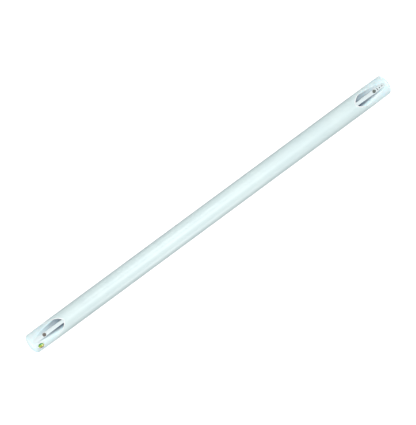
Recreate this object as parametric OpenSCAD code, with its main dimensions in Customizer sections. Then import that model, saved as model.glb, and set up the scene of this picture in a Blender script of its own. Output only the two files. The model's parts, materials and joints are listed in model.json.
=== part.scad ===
// Electronic white cane: a straight barrel with a moulded nose in each end.
// X runs along the cane, the head (camera) end is at -X and the grip end at +X.
// +Z is the side with the thumb scoops. The origin is at the middle, on the barrel's axis.
// Each end is drawn in its own frame: X is the distance from that end's tip, going inwards.

/* [Barrel] */
// Length of the cane from tip to tip
total_len = 624; // [600:1:660]
// Outside diameter of the barrel
tube_d = 30; // [30:0.5:31]
// Wall thickness of the barrel
tube_wall = 1.5; // [1.3:0.1:1.6]

/* [Ends] */
// Length of the head's arch, from its apex to the tip
head_arch = 61.5; // [60:0.5:63]
// Length of the grip's arch, from its apex to the tip
grip_arch = 59; // [57:0.5:60]
// How far the slanting cut falls for each millimetre along the barrel
arch_slope = 0.36; // [0.34:0.01:0.4]
// Thickness of the seal between the barrel and a nose
seal_t = 0.4; // [0.3:0.1:0.6]
// Length of the rounded tip of a nose
dome_len = 7; // [6:0.5:7.5]

/* [Thumb scoops] */
// Depth of the scoop at the arch's apex
scoop_depth = 9.2; // [8.5:0.1:9.5]
// How far the scoop's floor rises for each millimetre towards the tip
scoop_rise = 0.154; // [0.15:0.001:0.16]
// Radius of the scoop's round floor
scoop_r = 17; // [16:0.5:18]
// Width of the spine at the arch's apex
spine_w_apex = 4.6; // [4:0.1:5.2]
// Width of the spine at its tip end
spine_w_tip = 6.6; // [6:0.1:6.8]

/* [Controls] */
// Diameter of the head's button
head_button_d = 5.2; // [4.8:0.1:5.6]
// Diameter of the power button
power_button_d = 4.8; // [4.4:0.1:5.4]
// Travel of each button
button_travel = 0.6; // [0.3:0.1:0.6]
// Diameter of the camera's front lens
lens_d = 8.4; // [8:0.1:9]

/* [Hidden] */
$fn = 96;
tiny = 0.01;

// barrel
R = tube_d / 2;
bore_r = R - tube_wall;
half = total_len / 2;
lip = dome_len + 1;            // the barrel's lower lip ends this far from a tip
arch_angle = atan(arch_slope);
mouth_r = R - 0.5;             // each end of the bore opens out to leave a thin edge
mouth_past = 5;                // how far past the apex it opens out
seal_r = R - 0.2;              // the seals and the lens bezel stay this much inside the barrel's own surface
button_top = R - 0.1;          // so a button's corners stay inside a sleeve slid over the cane

// noses
nose_r = R - 0.3;
plug_r = bore_r - 0.1;
plug_len = 18;                 // how far a nose reaches into the barrel past the apex
cavity_r = 10.6;
cavity_start = 5;
rest_r = 5;                    // flat at the very tip
scoop_end = 7;                 // the scoop closes this far from the tip
scoop_close = 10;              // length over which its floor curves up to close
scoop_under = 2.5;             // how far it runs in under the barrel's edge
scoop_angle = atan(scoop_rise);
spine_top_r = nose_r + 0.1;
spine_seat = 1.5;              // the spine sits this deep in the scoop's floor
nose_skin = 1.5;               // wall left under the spine's seat
spine_gap = 0.05;
seal_groove_w = 1.7;
ring_r = 0.72;                 // section radius of an O-ring
ring_seat_r = plug_r - 2 * ring_r;

// controls
button_gap = 0.08;
boss_wall = 0.9;
flange_r = 3.4;
flange_t = 0.8;
switch_w = 6;
switch_h = 2.6;
plunger_r = 1.7;
plunger_up = 1.0;
switch_floor = 0.3;
dome_h = button_travel + 0.2;
dome_t = 0.12;
board_t = 1.0;
head_button_at = 26.5;         // distances from the tip
power_button_at = 25.3;
bar_at = 19.9;
dot_at = [16.2, 12.0];
bar_size = [1.3, 3.2];
dot_r = 0.9;
pipe_gap = 0.05;
led_h = 0.9;

// camera, along an axis that leans over by lens_lean from +Z towards -Y
lens_at = 14.1;
lens_lean = 42;
lens_r = lens_d / 2;
bezel_r = lens_r + 1.4;
bezel_face = 14.5;             // distances from the barrel's axis
bezel_foot = 12.5;
lens_seat = 13;
lens_edge = 13.5;
lens_crown = 14.4;
barrel_foot = 5;
camera_w = 10;

// fasteners
screw_at = 9;                  // inboard of the apex
screw_turns = [-40, 40];       // round from straight down
screw_r = 1.25;
screw_head_r = 2.3;
screw_head_h = 1.1;
screw_face = R - 0.2;
screw_point = 10.9;

// inside the barrel
rail_r = bore_r - 0.2;
rail_wall = 1.2;
rail_top = -4;
rail_from = -half + head_arch + plug_len + 0.2;
rail_to = half - grip_arch - plug_len - 0.2;
cell_r = 9.15;
cell_len = 65;
wrap_t = 0.3;
cell_z = -(rail_r - rail_wall) + cell_r;
nub_r = 3;
nub_h = 1;
bay_mid = -1;
stop_t = 2;
spring_h = 3;
plate_t = 0.5;
bay_from = bay_mid - cell_len - spring_h;
bay_to = bay_mid + cell_len + plate_t;
board_from = 84;
board_len = 102;
board_w = 19;
board_z = -3;
board_thick = 1.4;
post_x = [board_from + 5, board_from + board_len - 5];
post_y = 7;
post_r = 2.2;
chip_z = board_z + board_thick;
motor_from = 196;
motor_len = 14;
motor_r = 4;
motor_z = -6;
shaft_r = 0.5;
weight_r = 3.6;
weight_len = 4.5;
ribbon_t = 0.3;
ribbon_w = 8;
lead_r = 0.7;

// ---- frames and helpers ----

module at_head() translate([-half, 0, 0]) children();
module at_grip() translate([half, 0, 0]) mirror([1, 0, 0]) children();

// A round bar along X
module bar(r, from, to) translate([from, 0, 0]) rotate([0, 90, 0]) cylinder(r = r, h = to - from);

// A box given by its low corner and its high corner
module box(low, high) translate(low) cube(high - low);

// The scoop's floor on the centreline, at a distance from the tip
function floor_z(arch, a) = nose_r - scoop_depth + scoop_rise * (arch - a);

// Top of the cavity inside a nose, and of the board in it, at a distance from the tip
function ceiling_z(arch, a) = floor_z(arch, a) - spine_seat - nose_skin;
function flange_z(arch, a) = ceiling_z(arch, a) + 0.5;
function board_top(arch, a) = flange_z(arch, a) - flange_t - plunger_up - switch_h;

// Everything the barrel keeps at one end: below the slanting cut and inboard of the lip
module kept_by_barrel(arch, extra = 0) {
    intersection() {
        translate([arch, 0, R]) rotate([0, -arch_angle, 0]) box([-120, -30, -80], [150, 30, extra]);
        box([lip - extra, -30, -60], [arch + 120, 30, 60]);
    }
}

// Solid of revolution with an elliptical tip and a small flat
module domed_bar(r, to) {
    flat_turn = asin(rest_r / r);
    drop = dome_len * (1 - cos(flat_turn));
    steps = 14;
    rotate([0, 90, 0]) rotate_extrude() polygon(concat(
        [[0, 0]],
        [for (i = [0 : steps]) let (t = flat_turn + (90 - flat_turn) * i / steps)
            [r * sin(t), dome_len * (1 - cos(t)) - drop]],
        [[r, to], [0, to]]
    ));
}

// Outer form of a nose: flush in the arch, and a plug inside the barrel
module nose_form(arch, flush_r) {
    difference() {
        domed_bar(flush_r, arch + 5);
        kept_by_barrel(arch, seal_t);
    }
    intersection() {
        domed_bar(flush_r, arch + plug_len);
        union() {
            bar(plug_r, 0, arch + plug_len);
            bar(mouth_r - 0.1, 0, arch + mouth_past - 0.1);
        }
    }
}

// The thumb scoop, a round trough whose floor rises to the tip and closes there
module scoop(arch) {
    end_at = (arch - scoop_end) / cos(scoop_angle);
    close_r = scoop_close * scoop_close / (2 * (scoop_depth - scoop_rise * (arch - scoop_end)));
    corner = 5;
    steps = 6;
    translate([arch, 0, nose_r - scoop_depth]) rotate([0, scoop_angle, 0])
        translate([0, 0, scoop_r]) rotate([0, 90, 0]) rotate_extrude() polygon(concat(
            [[0, scoop_under]],
            [for (i = [0 : steps]) let (t = 90 * i / steps)
                [scoop_r - corner + corner * sin(t), scoop_under - corner + corner * cos(t)]],
            [for (i = [0 : steps]) let (u = (scoop_close + 3) * i / steps)
                [scoop_r - u * u / (2 * close_r), -(end_at - scoop_close) - u]],
            [[0, -(end_at + 3)]]
        ));
}

// Plan of the spine: tapered, with a round tip end
module spine_plan(arch, gap = 0) {
    tip_r = spine_w_tip / 2 + gap;
    apex_r = spine_w_apex / 2 + gap;
    tip_x = scoop_end + 0.6 + spine_w_tip / 2;
    apex_x = arch + scoop_under + gap;
    steps = 12;
    polygon(concat(
        [[apex_x, apex_r]],
        [for (i = [0 : steps]) let (t = 90 + 180 * i / steps) [tip_x + tip_r * cos(t), tip_r * sin(t)]],
        [[apex_x, -apex_r]]
    ));
}

// The seat's solid: the spine and its boss round the button, down to a floor that follows the scoop's
module spine_block(arch, at, d, gap = 0) {
    intersection() {
        union() {
            translate([0, 0, -5]) linear_extrude(30) spine_plan(arch, gap);
            translate([at, 0, -5]) cylinder(r = d / 2 + boss_wall + gap, h = 30);
        }
        translate([arch, 0, nose_r - scoop_depth]) rotate([0, scoop_angle, 0])
            box([-90, -20, -spine_seat], [30, 20, 40]);
    }
}

// Space inside a nose, under the scoop
module nose_cavity(arch) {
    intersection() {
        bar(cavity_r, cavity_start, arch + plug_len + 1);
        union() {
            translate([arch, 0, nose_r - scoop_depth]) rotate([0, scoop_angle, 0])
                box([-90, -20, -60], [scoop_under, 20, -spine_seat - nose_skin]);
            box([arch + scoop_under + nose_skin, -20, -20], [arch + plug_len + 2, 20, 20]);
        }
    }
    box([arch - 2, -6, -8], [arch + scoop_under + nose_skin + 1, 6, 0]);
}

// Round hole for a button, with the pocket for its flange
module button_hole(arch, at, d) {
    translate([at, 0, 0]) {
        cylinder(r = d / 2 + button_gap, h = 20);
        cylinder(r = flange_r + 0.3, h = ceiling_z(arch, at) + 0.6);
    }
}

module lean() translate([lens_at, 0, 0]) rotate([lens_lean, 0, 0]) children();

module screw_places(arch) for (turn = screw_turns) translate([arch + screw_at, 0, 0])
    rotate([turn, 0, 0]) mirror([0, 0, 1]) children();

module screw_holes_in_barrel(arch) screw_places(arch) {
    translate([0, 0, screw_face - screw_head_h])
        cylinder(r1 = screw_r + 0.15, r2 = screw_head_r + 0.15, h = screw_head_h);
    translate([0, 0, screw_face - tiny]) cylinder(r = screw_head_r + 0.15, h = 1);
    translate([0, 0, screw_point]) cylinder(r = screw_r + 0.15, h = R - screw_point);
}

module thread_holes_in_plug(arch) screw_places(arch)
    translate([0, 0, cavity_r - 1]) cylinder(r = screw_r + 0.02, h = 5);

module ring_groove(arch) difference() {
    bar(plug_r + 2, arch + 15.3 - seal_groove_w / 2, arch + 15.3 + seal_groove_w / 2);
    bar(ring_seat_r, arch, arch + plug_len + 1);
}

module nose(arch, at, d) {
    difference() {
        nose_form(arch, nose_r);
        scoop(arch);
        spine_block(arch, at, d, spine_gap);
        nose_cavity(arch);
        ring_groove(arch);
        thread_holes_in_plug(arch);
    }
}

module spine(arch, at, d) difference() {
    intersection() {
        nose_form(arch, spine_top_r);
        spine_block(arch, at, d);
    }
    translate([at, 0, 0]) cylinder(r = d / 2 + button_gap, h = 20);
}

module arch_seal(arch) difference() {
    bar(seal_r, dome_len, arch + 5);
    bar(mouth_r - 0.05, 0, arch + 6);
    kept_by_barrel(arch);
    difference() {
        box([-1, -30, -30], [arch + 6, 30, 30]);
        kept_by_barrel(arch, seal_t);
    }
}

module button(arch, at, d) {
    low = flange_z(arch, at) - flange_t;
    r = d / 2;
    edge = 0.4;
    translate([at, 0, 0]) rotate_extrude() polygon(concat(
        [[0, low], [flange_r, low], [flange_r, low + flange_t], [r, low + flange_t], [r, button_top - edge]],
        [for (i = [1 : 5]) let (t = 90 * i / 5) [r - edge + edge * cos(t), button_top - edge + edge * sin(t)]],
        [[0, button_top]]
    ));
}

module switch_housing(arch, at) translate([at, 0, board_top(arch, at)]) difference() {
    box([-switch_w / 2, -switch_w / 2, 0], [switch_w / 2, switch_w / 2, switch_h]);
    translate([0, 0, switch_floor]) cylinder(r = plunger_r + button_gap, h = switch_h);
}

module switch_plunger(arch, at) translate([at, 0, board_top(arch, at) + switch_floor + dome_h])
    cylinder(r = plunger_r, h = switch_h + plunger_up - switch_floor - dome_h);

// Domed spring leaf under the plunger
module switch_dome(arch, at) {
    foot = 1.4;
    rise = dome_h - dome_t;
    curve_r = (foot * foot + rise * rise) / (2 * rise);
    sweep = asin(foot / curve_r);
    steps = 6;
    translate([at, 0, board_top(arch, at) + switch_floor + dome_h - curve_r]) rotate_extrude() polygon(concat(
        [for (i = [0 : steps]) let (t = sweep * i / steps) curve_r * [sin(t), cos(t)]],
        [for (i = [steps : -1 : 0]) let (t = sweep * i / steps) (curve_r - dome_t) * [sin(t), cos(t)]]
    ));
}

module nose_board(arch, from, to, at) {
    top = board_top(arch, at);
    w = sqrt(cavity_r * cavity_r - top * top) - 0.1;
    box([from, -w, top - board_t], [to, w, top]);
}

module countersunk_screws(arch) screw_places(arch) difference() {
    union() {
        translate([0, 0, screw_face - screw_head_h]) cylinder(r1 = screw_r, r2 = screw_head_r, h = screw_head_h);
        translate([0, 0, screw_point]) cylinder(r = screw_r, h = screw_face - screw_head_h - screw_point + tiny);
    }
    for (turn = [0, 90]) rotate([0, 0, turn])
        box([-1.3, -0.25, screw_face - 0.7], [1.3, 0.25, screw_face + 1]);
}

// A flat ribbon that follows points in the XZ plane
module ribbon(points, w) {
    n = len(points);
    rotate([90, 0, 0]) translate([0, 0, -w / 2]) linear_extrude(w) polygon(concat(
        points, [for (i = [n - 1 : -1 : 0]) points[i] + [0, ribbon_t]]
    ));
}

// A round wire swept along a path; side_of is any direction the path never runs in
module swept_wire(path, r, side_of) {
    sides = 8;
    last = len(path) - 1;
    function unit(v) = v / norm(v);
    function heading(i) = unit(path[min(i + 1, last)] - path[max(i - 1, 0)]);
    function ring(i) = let (u = unit(cross(side_of, heading(i))), v = cross(heading(i), u))
        [for (k = [0 : sides - 1]) let (t = 360 * k / sides) path[i] + r * (cos(t) * u + sin(t) * v)];
    polyhedron(
        points = [for (i = [0 : last]) each ring(i)],
        faces = concat(
            [[for (k = [0 : sides - 1]) k]],
            [for (i = [0 : last - 1], k = [0 : sides - 1]) let (m = (k + 1) % sides)
                [i * sides + m, i * sides + k, (i + 1) * sides + k, (i + 1) * sides + m]],
            [[for (k = [sides - 1 : -1 : 0]) last * sides + k]]
        )
    );
}

// ---- shell and ends ----

module barrel_tube() color([0.88, 0.95, 0.95]) difference() {
    bar(R, -half + lip, half - lip);
    bar(bore_r, -half, half);
    at_head() bar(mouth_r, 0, head_arch + mouth_past);
    at_grip() bar(mouth_r, 0, grip_arch + mouth_past);
    at_head() difference() { box([0, -30, -30], [head_arch + 2, 30, 30]); kept_by_barrel(head_arch); }
    at_grip() difference() { box([0, -30, -30], [grip_arch + 2, 30, 30]); kept_by_barrel(grip_arch); }
    at_head() screw_holes_in_barrel(head_arch);
    at_grip() screw_holes_in_barrel(grip_arch);
}

module head_nose() color([0.86, 0.95, 0.95]) at_head() difference() {
    nose(head_arch, head_button_at, head_button_d);
    button_hole(head_arch, head_button_at, head_button_d);
    lean() {
        cylinder(r = lens_r - 0.6, h = 20);
        translate([0, 0, bezel_foot]) cylinder(r = bezel_r + 0.03, h = 10);
    }
}

module grip_nose() color([0.86, 0.95, 0.95]) at_grip() difference() {
    nose(grip_arch, power_button_at, power_button_d);
    button_hole(grip_arch, power_button_at, power_button_d);
    window_shapes(pipe_gap, 0, 20);
}

module head_seal() color("white") at_head() arch_seal(head_arch);
module grip_seal() color("white") at_grip() arch_seal(grip_arch);

module head_spine() color([0.95, 0.98, 0.98]) at_head() spine(head_arch, head_button_at, head_button_d);

module grip_spine() color([0.95, 0.98, 0.98]) at_grip() difference() {
    spine(grip_arch, power_button_at, power_button_d);
    window_shapes(pipe_gap, 0, 20);
}

// ---- controls ----

module head_button() color([0.3, 0.29, 0.27]) at_head() button(head_arch, head_button_at, head_button_d);
module power_button() color([0.3, 0.33, 0.32]) at_grip() button(grip_arch, power_button_at, power_button_d);

module window_shapes(gap, low, high) {
    box([bar_at - bar_size[0] / 2 - gap, -bar_size[1] / 2 - gap, low],
        [bar_at + bar_size[0] / 2 + gap, bar_size[1] / 2 + gap, high]);
    for (at = dot_at) translate([at, 0, low]) cylinder(r = dot_r + gap, h = high - low);
}

led_top = board_top(grip_arch, power_button_at) + led_h;

module indicator_windows() color([0.35, 0.35, 0.4]) at_grip()
    window_shapes(0, led_top + 0.3, spine_top_r - 0.1);

module head_board() color("darkgreen") at_head()
    nose_board(head_arch, lens_at + camera_w / 2 + 1, head_button_at + 9, head_button_at);

module head_switch_dome() color("gold") at_head() switch_dome(head_arch, head_button_at);
module power_switch_dome() color("gold") at_grip() switch_dome(grip_arch, power_button_at);

module grip_board() color("darkgreen") at_grip()
    nose_board(grip_arch, 9, power_button_at + 12, power_button_at);

module head_switch() color("dimgray") at_head() switch_housing(head_arch, head_button_at);
module power_switch() color("dimgray") at_grip() switch_housing(grip_arch, power_button_at);
module head_switch_plunger() color("black") at_head() switch_plunger(head_arch, head_button_at);
module power_switch_plunger() color("black") at_grip() switch_plunger(grip_arch, power_button_at);

module status_leds() color("ivory") at_grip() for (at = concat([bar_at], dot_at))
    box([at - 0.8, -1, led_top - led_h], [at + 0.8, 1, led_top]);

// ---- camera ----

module lens_bezel() color("white") at_head() intersection() {
    bar(seal_r, 0, 40);
    lean() difference() {
        translate([0, 0, bezel_foot]) cylinder(r = bezel_r, h = bezel_face - bezel_foot);
        translate([0, 0, lens_seat]) cylinder(r = lens_r + 0.03, h = 5);
        cylinder(r = lens_r - 0.6, h = 20);
    }
}

module front_lens() color([0.35, 0.75, 0.3]) at_head() lean() {
    sag = lens_crown - lens_edge;
    crown_r = (lens_r * lens_r + sag * sag) / (2 * sag);
    steps = 8;
    sweep = asin(lens_r / crown_r);
    rotate_extrude() polygon(concat(
        [[0, lens_seat], [lens_r, lens_seat], [lens_r, lens_edge]],
        [for (i = [steps - 1 : -1 : 0]) let (t = sweep * i / steps)
            [crown_r * sin(t), lens_crown - crown_r + crown_r * cos(t)]]
    ));
}

module lens_barrel() color("black") at_head() lean() difference() {
    translate([0, 0, barrel_foot]) cylinder(r = lens_r - 0.65, h = lens_seat - 0.1 - barrel_foot);
    translate([0, 0, barrel_foot + 1]) cylinder(r = 2.2, h = 20);
}

module image_sensor() color("slategray") at_head() lean() box([-3, -3, 4], [3, 3, 5]);
module camera_board() color("darkgreen") at_head() lean() box([-camera_w / 2, -camera_w / 2, 3], [camera_w / 2, camera_w / 2, 4]);
module camera_flex() color("orange") at_head() lean() box([3, -5, 3 - ribbon_t], [camera_w / 2 + 7, 0, 3]);

// ---- sealing and fastening ----

module o_ring(arch) translate([arch + 15.3, 0, 0]) rotate([0, 90, 0])
    rotate_extrude() translate([ring_seat_r + ring_r, 0]) circle(r = ring_r, $fn = 32);

module head_o_ring() color([0.1, 0.1, 0.1]) at_head() o_ring(head_arch);
module grip_o_ring() color([0.1, 0.1, 0.1]) at_grip() o_ring(grip_arch);
module head_screws() color("silver") at_head() countersunk_screws(head_arch);
module grip_screws() color("silver") at_grip() countersunk_screws(grip_arch);

// ---- inside the barrel ----

module chassis_rail() color("lightgray") difference() {
    union() {
        difference() {
            bar(rail_r, rail_from, rail_to);
            bar(rail_r - rail_wall, rail_from - 1, rail_to + 1);
            box([rail_from - 1, -30, rail_top], [rail_to + 1, 30, 30]);
        }
        intersection() {
            for (x = post_x, y = [-post_y, post_y]) translate([x, y, -20]) cylinder(r = post_r, h = 20 + board_z);
            bar(rail_r - rail_wall + tiny, rail_from, rail_to);
        }
    }
    for (x = post_x, y = [-post_y, post_y]) translate([x, y, board_z - 5]) cylinder(r = 1.02, h = 10);
}

module cell(from) {
    bar_z(cell_r - wrap_t, from, from + cell_len - nub_h);
    bar_z(nub_r, from + cell_len - nub_h - tiny, from + cell_len);
}

module bar_z(r, from, to) translate([0, 0, cell_z]) bar(r, from, to);

module cell_wrap(from) difference() {
    bar_z(cell_r, from, from + cell_len - nub_h);
    bar_z(cell_r - wrap_t, from - 1, from + cell_len);
}

module front_cell() color("silver") cell(bay_mid - cell_len);
module rear_cell() color("silver") cell(bay_mid);
module front_cell_wrap() color("steelblue") cell_wrap(bay_mid - cell_len);
module rear_cell_wrap() color("steelblue") cell_wrap(bay_mid);

module battery_stops() color("gray") for (x = [bay_from - stop_t, bay_to]) difference() {
    bar(rail_r - rail_wall - 0.05, x, x + stop_t);
    box([x - 1, -20, 6.2], [x + 5, 20, 20]);
    for (y = [-8, 8]) translate([0, y, 3.5]) bar(lead_r + 0.3, x - 1, x + 5, $fn = 24);
}

// Conical spring against the front cell
module battery_spring() color("silver") {
    turns = 2.5;
    wire_r = 0.35;
    steps = 50;
    base_r = 5;
    tip_r = 2.2;
    path = [for (i = [0 : steps]) let (f = i / steps, r = base_r + (tip_r - base_r) * f, t = 360 * turns * f)
        [wire_r + (spring_h - 2 * wire_r) * f, r * cos(t), r * sin(t)]];
    translate([bay_from, 0, cell_z]) swept_wire(path, wire_r, [1, 0, 0]);
}

module battery_plate() color("silver") box([bay_to - plate_t, -5, cell_z - 5], [bay_to, 5, cell_z + 5]);

module main_board() color("darkgreen") difference() {
    box([board_from, -board_w / 2, board_z], [board_from + board_len, board_w / 2, board_z + board_thick]);
    for (x = post_x, y = [-post_y, post_y]) translate([x, y, board_z - 1]) cylinder(r = 1.1, h = 5);
}

module processor_chip() color([0.15, 0.15, 0.16]) box([114, -6, chip_z], [126, 6, chip_z + 1.2]);

module small_chips() color([0.15, 0.15, 0.16]) {
    box([132, -4, chip_z], [142, 4, chip_z + 1]);
    box([148, -6, chip_z], [155, 1, chip_z + 3]);
    for (i = [0 : 4]) box([104, -6 + 2.6 * i, chip_z], [107, -4.6 + 2.6 * i, chip_z + 0.9]);
    for (i = [0 : 2]) box([160 + 4 * i, 3, chip_z], [162 + 4 * i, 6, chip_z + 0.8]);
}

module board_connectors() color("ivory") {
    box([board_from + 8, -5, chip_z], [board_from + 13, 5, chip_z + 2]);
    box([board_from + board_len - 14, -5, chip_z], [board_from + board_len - 9, 5, chip_z + 2]);
    box([board_from + 16, 4, chip_z], [board_from + 20, 9, chip_z + 3.4]);
}

module board_screws() color("silver") for (x = post_x, y = [-post_y, post_y]) translate([x, y, 0]) difference() {
    union() {
        translate([0, 0, chip_z]) cylinder(r = 1.9, h = 1.3);
        translate([0, 0, board_z - 4]) cylinder(r = 1, h = 4 + board_thick + tiny);
    }
    for (turn = [0, 90]) rotate([0, 0, turn]) box([-1.1, -0.25, chip_z + 0.7], [1.1, 0.25, chip_z + 3]);
}

module motor_can() color("silver") translate([0, 0, motor_z]) difference() {
    bar(motor_r, motor_from, motor_from + motor_len);
    bar(shaft_r + 0.05, motor_from + 2, motor_from + motor_len + 1, $fn = 24);
}

module motor_saddle() color("gray") difference() {
    box([motor_from + 2, -6, -10.4], [motor_from + motor_len - 2, 6, motor_z + 2.6]);
    translate([0, 0, motor_z]) bar(motor_r + 0.03, motor_from, motor_from + motor_len);
}

// Shaft and half-round weight, which hangs below the shaft at rest
module motor_rotor() color("dimgray") translate([0, 0, motor_z]) {
    shaft_to = motor_from + motor_len + 7;
    bar(shaft_r, motor_from + 2.5, shaft_to, $fn = 24);
    intersection() {
        bar(weight_r, shaft_to - 1 - weight_len, shaft_to - 1);
        box([shaft_to - 10, -10, -10], [shaft_to, 10, 0]);
    }
}

// ---- wiring held inside the barrel ----

head_board_top = board_top(head_arch, head_button_at);
grip_board_top = board_top(grip_arch, power_button_at);

module head_ribbon() color("orange") ribbon([
    [-half + head_button_at + 6, head_board_top], [-half + head_button_at + 10, head_board_top],
    [-half + head_arch - 4, -1], [-half + head_arch + plug_len + 4, -1],
    [bay_from - 30, 7], [bay_to + 6, 7], [board_from + 2, chip_z + 1], [board_from + 8, chip_z + 1]
], ribbon_w);

module grip_ribbon() color("orange") ribbon([
    [board_from + board_len - 9, chip_z + 1], [board_from + board_len + 4, chip_z + 1],
    [motor_from + 2, 1], [half - grip_arch + 4, -1],
    [half - power_button_at - 13, grip_board_top], [half - power_button_at - 6, grip_board_top]
], ribbon_w);

module positive_lead() color("firebrick") swept_wire([
    [bay_to + stop_t + 0.6, 4, cell_z + 6], [bay_to + stop_t + 4, 5.8, 3.4], [board_from + 12, 5.8, 3.4],
    [board_from + 17.5, 5.8, chip_z + 3.4 + lead_r + 0.1]
], lead_r, [0, 1, 0]);

module negative_lead() color([0.1, 0.1, 0.1]) swept_wire([
    [bay_from - stop_t - 0.6, 4, cell_z], [bay_from - stop_t - 5, 6, 1], [bay_from - stop_t - 1.5, 8, 3.5],
    [bay_to + 6, 8, 3.5], [board_from + 14, 8, 3.5], [board_from + 18.5, 8, chip_z + 3.4 + lead_r + 0.1]
], lead_r, [0, 1, 0]);

barrel_tube();
head_nose();
grip_nose();
head_seal();
grip_seal();
head_spine();
grip_spine();
head_button();
power_button();
indicator_windows();
lens_bezel();
front_lens();
lens_barrel();
image_sensor();
camera_board();
camera_flex();
head_board();
head_switch();
head_switch_plunger();
head_switch_dome();
grip_board();
power_switch();
power_switch_plunger();
power_switch_dome();
status_leds();
head_o_ring();
grip_o_ring();
head_screws();
grip_screws();
chassis_rail();
front_cell();
rear_cell();
front_cell_wrap();
rear_cell_wrap();
battery_stops();
battery_spring();
battery_plate();
main_board();
processor_chip();
small_chips();
board_connectors();
board_screws();
motor_can();
motor_saddle();
motor_rotor();
head_ribbon();
grip_ribbon();
positive_lead();
negative_lead();
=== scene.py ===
import json
import math

import bmesh
import bpy
import numpy as np
from mathutils import Matrix, Vector


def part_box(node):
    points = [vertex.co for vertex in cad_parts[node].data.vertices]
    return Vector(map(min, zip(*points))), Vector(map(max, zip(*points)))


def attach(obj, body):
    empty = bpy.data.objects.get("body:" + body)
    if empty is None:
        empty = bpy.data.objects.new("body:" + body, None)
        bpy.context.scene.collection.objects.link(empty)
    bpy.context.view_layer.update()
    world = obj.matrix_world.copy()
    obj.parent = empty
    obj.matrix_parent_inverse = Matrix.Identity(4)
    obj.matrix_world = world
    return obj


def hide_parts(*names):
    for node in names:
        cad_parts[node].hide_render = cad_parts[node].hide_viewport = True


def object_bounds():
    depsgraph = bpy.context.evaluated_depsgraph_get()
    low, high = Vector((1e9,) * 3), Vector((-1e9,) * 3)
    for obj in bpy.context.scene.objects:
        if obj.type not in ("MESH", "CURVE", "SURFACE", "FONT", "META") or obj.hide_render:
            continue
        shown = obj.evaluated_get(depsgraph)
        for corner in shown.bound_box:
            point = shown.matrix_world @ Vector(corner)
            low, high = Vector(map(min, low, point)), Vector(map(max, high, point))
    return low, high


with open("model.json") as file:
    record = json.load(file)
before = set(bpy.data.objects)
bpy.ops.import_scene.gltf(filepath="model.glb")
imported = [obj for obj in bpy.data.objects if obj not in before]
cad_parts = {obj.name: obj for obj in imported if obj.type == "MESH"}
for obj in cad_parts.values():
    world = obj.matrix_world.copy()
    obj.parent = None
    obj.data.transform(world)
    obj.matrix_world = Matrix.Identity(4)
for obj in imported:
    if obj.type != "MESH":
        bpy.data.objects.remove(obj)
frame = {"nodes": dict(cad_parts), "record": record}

cad_low, cad_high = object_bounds()

# ---- sizes of the cane, in millimetres, as the CAD has them ----

MM = 0.001
HALF_LENGTH = 312.0
BARREL_R = 15.0
BORE_R = 13.5
NOSE_R = 14.7
PLUG_R = 13.4
CAVITY_R = 10.6
PLUG_LENGTH = 18.0
ARCH_SLOPE = 0.36
SEAL_T = 0.4
SEAL_R = 14.8
MOUTH_R = 14.5
MOUTH_PAST = 5.0
MOUTH_GAP = 0.1
DOME_LENGTH = 7.0
TIP_FLAT_R = 5.0
LIP = 8.0
CORNER_BLEND = 4.0
RING_EDGE_ROUND = 0.12
RING_SEGMENTS = 288
PLUG_CHAMFER = 0.4
CAVITY_FROM = 5.0
# The smallest step between two rings of a nose, and a distance that stands for nothing in the way.
TINY_STEP = 0.02
NO_LIMIT = 1e3

# The painted shade in the scoops runs from near the arch's top to near the tip, measured from the cane's
# middle.
SHADE_FROM, SHADE_TO = 258.0, 300.0
SHADE_ENDS = 305.0

SCOOP_DEPTH = 9.2
SCOOP_RISE = 0.154
SCOOP_R = 17.0
SCOOP_END = 7.0
SCOOP_CLOSE = 10.0
SCOOP_UNDER = 2.5
SCOOP_CORNER = 5.0
SCOOP_TURN = 62

SPINE_TOP_R = 14.8
SPINE_W_APEX = 4.6
SPINE_W_TIP = 6.6
SPINE_SEAT = 1.5
SPINE_EASE = 0.35
SPINE_START = 0.6
FLOOR_UNDER_SPINE = 1.5
BOSS_WALL = 0.9
BUTTON_GAP = 0.08
BUTTON_FLANGE_R = 3.4
BUTTON_FLANGE_T = 0.8
FLANGE_DOWN = 1.0
FLANGE_TOP_GAP = 0.1
FLANGE_SIDE_GAP = 0.3
BUTTON_TOP = 14.9
BUTTON_ROUND = 0.45
BUTTON_DISH = 0.16
PAST_SURFACE = 20.0

LENS_AT = 14.1
LENS_LEAN = math.radians(42)
LENS_R = 4.2
BEZEL_R = 5.6
BEZEL_FACE = 14.5
BEZEL_FOOT = 12.5
LENS_SEAT = 13.0
LENS_EDGE = 13.5
LENS_CROWN = 14.4
LENS_LEDGE = 0.6
LENS_HOLE_FOOT = 6.0
LENS_FIT = 0.03

# The bar's place, length and width; each dot's place and radius.
BAR_MARK = (19.9, 1.3, 3.2)
DOT_MARKS = ((16.2, 0.9), (12.0, 0.9))
MARK_DEPTH = 3.0
MARK_PROUD = 0.04

SCREW_INBOARD = 9.0
SCREW_FACE_R = 14.8
SCREW_HEAD_R, SCREW_HEAD_H = 2.3, 1.1
SCREW_SHANK_R, SCREW_LENGTH = 1.25, 3.9
SCREW_PITCH = 0.3
SCREW_GAP = 0.15
SCREW_TURNS = (-40, 40)
CROSS_LINE = 4.1
CUTTER_TWIST = 0.02

ARCH_ANGLE = math.atan(ARCH_SLOPE)
SEAL_RISE = SEAL_T / math.cos(ARCH_ANGLE)


class End:
    """One end of the cane; distances are measured inwards from its tip."""

    def __init__(self, side, arch, button_at, button_d):
        self.side, self.arch = side, arch
        self.button_at, self.button_d = button_at, button_d

    def x(self, inward):
        return self.side * (HALF_LENGTH - inward)

    def floor(self, inward):
        return NOSE_R - SCOOP_DEPTH + SCOOP_RISE * (self.arch - inward)

    def place(self, inward, y, z):
        """Points in the cane's frame, in metres."""
        return np.stack([self.x(np.asarray(inward)), np.asarray(y), np.asarray(z)], axis=-1) * MM


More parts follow.
